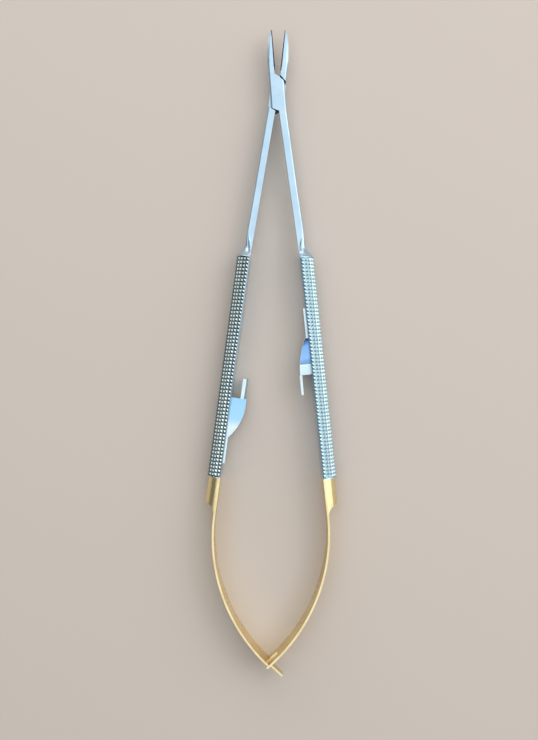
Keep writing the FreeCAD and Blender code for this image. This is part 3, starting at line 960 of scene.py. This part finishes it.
    def cut_knurling(self, name: str) -> bpy.types.Object:
        """Makes the half-round length of pyramids in the handle's own frame.

        Args:
            name: name of the piece.

        Returns:
            The closed mesh.
        """
        radius = self.groove_radius * MM
        pitch = self.pitch * MM
        height = self.axis_height * MM
        start = -self.knurl_start * MM
        clear_selection()
        bpy.ops.mesh.primitive_cylinder_add(
            vertices=2 * self.columns, radius=radius, depth=pitch,
            end_fill_type="NOTHING", location=(0, start - pitch / 2, height),
            rotation=(math.pi / 2, 0, 0))
        piece = bpy.context.object
        piece.name = name
        bpy.ops.object.transform_apply(location=True, rotation=True, scale=True)
        bpy.ops.object.mode_set(mode="EDIT")
        bpy.ops.mesh.select_all(action="SELECT")
        bpy.ops.mesh.bisect(
            plane_co=(self.inner_face * MM, 0, 0), plane_no=(1, 0, 0), clear_inner=True,
            threshold=FINE_CUT_FIT)
        bpy.ops.mesh.select_all(action="SELECT")
        flat = self.groove_radius * math.cos(math.pi / (2 * self.columns))
        bpy.ops.mesh.poke(offset=(self.tip_radius - flat) * MM)
        bpy.ops.object.mode_set(mode="OBJECT")
        repeat = piece.modifiers.new("rings", "ARRAY")
        repeat.count = self.rows
        repeat.use_relative_offset = False
        repeat.use_constant_offset = True
        repeat.constant_offset_displace = (0, -pitch, 0)
        repeat.use_merge_vertices = True
        repeat.merge_threshold = 0.01 * MM
        bpy.ops.object.modifier_apply(modifier=repeat.name)
        finish = start - self.rows * pitch
        self.close_end(piece, start, self.end_reach * MM)
        self.close_end(piece, finish, -self.end_reach * MM)
        open_edit(piece, "EDGE")
        bpy.ops.object.mode_set(mode="EDIT")
        bpy.ops.mesh.select_non_manifold(extend=False)
        bpy.ops.mesh.edge_face_add()
        bpy.ops.mesh.select_all(action="SELECT")
        bpy.ops.mesh.normals_make_consistent(inside=False)
        for up in (1, -1):
            corner = (self.edge_break * MM, 0, height + up * self.tip_radius * MM)
            bpy.ops.mesh.select_all(action="SELECT")
            bpy.ops.mesh.bisect(
                plane_co=corner, plane_no=(-1, 0, up), use_fill=True, clear_outer=True,
                threshold=FINE_CUT_FIT)
        bpy.ops.object.mode_set(mode="OBJECT")
        return piece

    def close_end(self, piece: bpy.types.Object, level: float, reach: float) -> None:
        """Runs one end of the knurling out to the full round and closes it.

        Args:
            piece: the open half-tube.
            level: its end along y, in metres.
            reach: how far the end goes on, in metres, negative towards the tail.
        """
        pick_edges(piece, lambda a, b: abs(a.y - level) < ON_CUT and abs(b.y - level) < ON_CUT)
        bpy.ops.mesh.extrude_edges_move(TRANSFORM_OT_translate={"value": (0, reach, 0)})
        grow = self.outer_radius / self.groove_radius
        bpy.ops.transform.resize(
            value=(grow, 1, grow),
            center_override=(self.inner_face * MM, level, self.axis_height * MM))
        bpy.ops.object.mode_set(mode="OBJECT")
        end = level + reach
        pick_edges(piece, lambda a, b: abs(a.y - end) < ON_CUT and abs(b.y - end) < ON_CUT)
        bpy.ops.mesh.edge_face_add()
        bpy.ops.object.mode_set(mode="OBJECT")


@dataclass
class TailSpring:
    """One gold-plated spring: the collar on the end of the handle and the bowed leaf to the tail."""

    line: HandleFrame
    effects: SharedEffects
    leaf_start: float = 117.85
    crossing_reach: float = 158.2
    smooth_angle: float = 24.0

    def build(self) -> bpy.types.Object:
        """Copies the spring, smooths its shading and dresses it.

        Returns:
            The finished piece.
        """
        side = self.line.side.value
        piece = copy_node(f"tail_spring_{side}", f"gold_spring_{side}")
        take(piece)
        bpy.ops.object.shade_smooth_by_angle(angle=math.radians(self.smooth_angle))
        piece.data.materials.append(self.plate().material(self.effects))
        start = self.line.point(0, -self.leaf_start, self.line.axis_height)
        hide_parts(f"tail_spring_{side}")
        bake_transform(piece)
        log.info("%s: %d faces", piece.name, len(piece.data.polygons))
        return piece

    def plate(self) -> MetalFinish:
        """The gold plate over brushed steel."""
        return MetalFinish(
            f"gold_plate_{self.line.side.value}", roughness=0.24, patch_roughness=0.32,
            line_depth=0.001, patch_scale=120.0, turn=self.line.turn, **GOLD)


@dataclass
class Catch:
    """One catch of spring steel on a handle's inner face: strip, cam and hook.

    Lengths count back from the joint along the handle. All sizes in mm. The line that the hooks
    would spring along is given, but nothing here ties the hooks to the halves or lets them bend.
    Riding rigidly they would cut through each other in the closed pose, as the solids do.
    """

    line: HandleFrame
    effects: SharedEffects
    block_start: float
    block_end: float
    crease_depth: float
    bend_start: float
    bend_end: float
    crease_width: float = 0.5
    edge_break: float = 0.13
    flat_angle: float = 2.0
    sharp_angle: float = 40.0
    smooth_angle: float = 22.0
    shortest_edge: float = 0.55

    def build(self) -> bpy.types.Object:
        """Copies the catch, breaks its edges, cuts its crease and dresses it.

        Returns:
            The finished piece.
        """
        side = self.line.side.value
        piece = copy_node(f"catch_{side}", f"snap_catch_{side}")
        bpy.ops.object.mode_set(mode="EDIT")
        bpy.ops.mesh.select_all(action="SELECT")
        bpy.ops.mesh.dissolve_limited(angle_limit=math.radians(self.flat_angle))
        pick_sharp_edges(
            piece, self.sharp_angle, lambda a, b: (a - b).length > self.shortest_edge * MM)
        bpy.ops.mesh.bevel(
            offset=self.edge_break * MM, segments=2, affect="EDGES", clamp_overlap=True)
        self.mark_block(piece)
        take(piece)
        bpy.ops.object.shade_smooth_by_angle(angle=math.radians(self.smooth_angle))
        start = self.line.point(0, -self.bend_start, self.line.axis_height)
        end = self.line.point(0, -self.bend_end, self.line.axis_height)
        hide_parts(f"catch_{side}")
        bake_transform(piece)
        log.info("%s: %d faces", piece.name, len(piece.data.polygons))
        return piece

    def mark_block(self, piece: bpy.types.Object) -> None:
        """Cuts the crease in front of the land, gives the block's top its painted sky reflection and the
        rest of the catch its paler steel with a painted highlight.

        Args:
            piece: the bevelled catch.
        """
        side = self.line.side.value
        bright = MetalFinish(
            f"land_highlight_spring_{side}", roughness=0.28, patch_roughness=0.34, line_depth=0.003,
            turn=self.line.turn, **LAND_HIGHLIGHT_STEEL)
        along = self.line.along()
        start = self.line.point(0, -self.block_start, 0).dot(along)
        end = self.line.point(0, -self.block_end, 0).dot(along)
        blue = PaintedReflectionFinish(
            f"sky_reflection_spring_{side}", roughness=0.22, patch_roughness=0.28, line_depth=0.002,
            turn=self.line.turn, start=start, finish=end, stops=BLOCK_REFLECTIONS[self.line.side],
            **SPRING_STEEL)
        piece.data.materials.append(bright.material(self.effects))
        piece.data.materials.append(blue.material(self.effects))
        take(piece)
        bpy.ops.object.mode_set(mode="EDIT")
        crease = self.block_end if self.line.side is Side.RIGHT else self.block_start
        middle = 0.5 * (self.block_start + self.block_end)
        toward = 1 if crease > middle else -1
        for distance in (
                self.block_start, self.block_end, crease + 0.5 * toward * self.crease_width,
                crease + toward * self.crease_width):
            place = self.line.point(0, -distance, self.line.axis_height)
            bpy.ops.mesh.select_all(action="SELECT")
            bpy.ops.mesh.bisect(plane_co=place, plane_no=along, threshold=CUT_FIT)
        pick_faces(piece, lambda centre, normal: end < centre.dot(along) < start and normal.z > 0.5)
        piece.active_material_index = 1
        bpy.ops.object.material_slot_assign()
        bpy.ops.object.mode_set(mode="OBJECT")
        if self.crease_depth:
            level = self.line.point(0, -crease - 0.5 * toward * self.crease_width, 0).dot(along)
            top = max(v.co.z for v in piece.data.vertices)
            pick_edges(piece, lambda a, b: all(
                abs(p.dot(along) - level) < ON_CUT and p.z > top - 0.2 * MM for p in (a, b)))
            bpy.ops.transform.translate(value=(0, 0, -self.crease_depth * MM))
            bpy.ops.object.mode_set(mode="OBJECT")


@dataclass
class SmallParts:
    """The pieces whose CAD meshes stay: jaw inserts, joint pin and the catches' rivets."""

    effects: SharedEffects
    open_half_angle: float = 5.7

    def dress(self) -> None:
        """Gives each node its finish."""
        steel = MetalFinish(
            "turned_steel", roughness=0.28, line_depth=0.004, edge_radius=0.02,
            turn=self.open_half_angle, **STEEL)
        finishes = {
            "jaw_insert_left": self.carbide("left", self.open_half_angle),
            "jaw_insert_right": self.carbide("right", -self.open_half_angle),
            "pivot_pin": steel,
            "catch_rivet_right_1": steel,
            "catch_rivet_right_2": steel,
            "catch_rivet_left_1": steel,
            "catch_rivet_left_2": steel,
        }
        made: dict[str, bpy.types.Material] = {}
        for node, finish in finishes.items():
            if finish.name not in made:
                made[finish.name] = finish.material(self.effects)
            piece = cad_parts[node]
            piece.data.materials.clear()
            piece.data.materials.append(made[finish.name])
            log.info("%s: %s", node, finish.name)

    def carbide(self, side: str, turn: float) -> CarbideFinish:
        """The finish of one jaw insert.

        Args:
            side: the side of the jaw.
            turn: its angle to the middle line in degrees.

        Returns:
            The finish.
        """
        return CarbideFinish(
            f"carbide_{side}", colour=(0.07, 0.07, 0.075), patch_colour=(0.05, 0.05, 0.055),
            edge_wear_and_highlight_colour=(0.14, 0.14, 0.15), roughness=0.42, patch_roughness=0.5,
            line_depth=0.01, turn=turn)


@dataclass
class Studio:
    """A pale floor, soft lamps and the camera straight above. Distances in mm."""

    camera_place: Place = (-1.2, -4.86, 246.1)
    camera_roll: float = 0.85
    lens: float = 42.2
    floor_colour: Colour = (0.62, 0.54, 0.48)
    floor_half: float = 3000.0
    floor_drop: float = 0.02
    room_colour: Colour = (0.95, 0.98, 1.0)
    room_strength: float = 0.2

    def build(self) -> None:
        """Makes floor, lamps, world and camera."""
        self.lay_floor()
        self.hang_lamps()
        self.fill_world()
        self.place_camera()

    def lay_floor(self) -> None:
        """Makes the floor just under the object."""
        clear_selection()
        bpy.ops.mesh.primitive_plane_add(
            size=2 * self.floor_half * MM, location=(0, 0, -self.floor_drop * MM))
        floor = bpy.context.object
        floor.name = "floor"
        made = bpy.data.materials.new("floor_paint")
        made.use_nodes = True
        shader = made.node_tree.nodes["Principled BSDF"]
        shader.inputs["Base Color"].default_value = (*self.floor_colour, 1)
        shader.inputs["Roughness"].default_value = 0.9
        floor.data.materials.append(made)

    def hang_lamp(
            self, name: str, place: Place, size: tuple[float, float], glow: float,
            colour: Colour) -> None:
        """Hangs a soft lamp that looks at the middle of the object.

        Args:
            name: its name.
            place: its place in mm.
            size: its width and height in mm.
            glow: the brightness of its face.
            colour: its linear colour.
        """
        data = bpy.data.lights.new(name, "AREA")
        data.shape = "RECTANGLE"
        data.size = size[0] * MM
        data.size_y = size[1] * MM
        data.energy = glow * math.pi * data.size * data.size_y
        data.color = colour
        lamp = bpy.data.objects.new(name, data)
        lamp.location = Vector(place) * MM
        lamp.rotation_euler = (-lamp.location).to_track_quat("-Z", "Y").to_euler()
        bpy.context.scene.collection.objects.link(lamp)

    def hang_lamps(self) -> None:
        """Hangs the lamps."""
        self.hang_lamp("overhead", (50, 130, 650), (1350, 1450), 1.0, (0.94, 0.98, 1.0))
        self.hang_lamp("right_window", (720, 220, 420), (800, 800), 1.5, (1.0, 1.0, 1.0))
        self.hang_lamp("back_window", (50, 850, 300), (700, 500), 1.8, (1.0, 1.0, 1.0))
        self.hang_lamp("back_left_window", (-420, 700, 260), (450, 320), 2.2, (1.0, 1.0, 1.0))

    def fill_world(self) -> None:
        """Makes the pale room that the metal reflects."""
        world = bpy.data.worlds.new("room")
        bpy.context.scene.world = world
        world.use_nodes = True
        background = world.node_tree.nodes["Background"]
        background.inputs["Color"].default_value = (*self.room_colour, 1)
        background.inputs["Strength"].default_value = self.room_strength

    def place_camera(self) -> None:
        """Puts the camera where the view was taken from."""
        data = bpy.data.cameras.new("camera")
        data.sensor_width = 36.0
        data.lens = self.lens
        data.clip_start = 0.01
        camera = bpy.data.objects.new("camera", data)
        camera.location = Vector(self.camera_place) * MM
        camera.rotation_euler = (0, 0, math.radians(self.camera_roll))
        bpy.context.scene.collection.objects.link(camera)
        bpy.context.scene.camera = camera


def main() -> None:
    """Builds the needle holder on the frame and the studio round it."""
    logging.basicConfig(level=logging.INFO, format="%(message)s")
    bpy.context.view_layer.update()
    bpy.context.scene.view_settings.view_transform = "Standard"
    effects = SharedEffects()
    effects.build()
    for side in Side:
        line = HandleFrame(side)
        Forging(line, effects).build()
        TailSpring(line, effects).build()
        Catch(line, effects, *BLOCKS[side]).build()
    SmallParts(effects).dress()
    Studio().build()
    clear_selection()


if __name__ == "__main__":
    main()
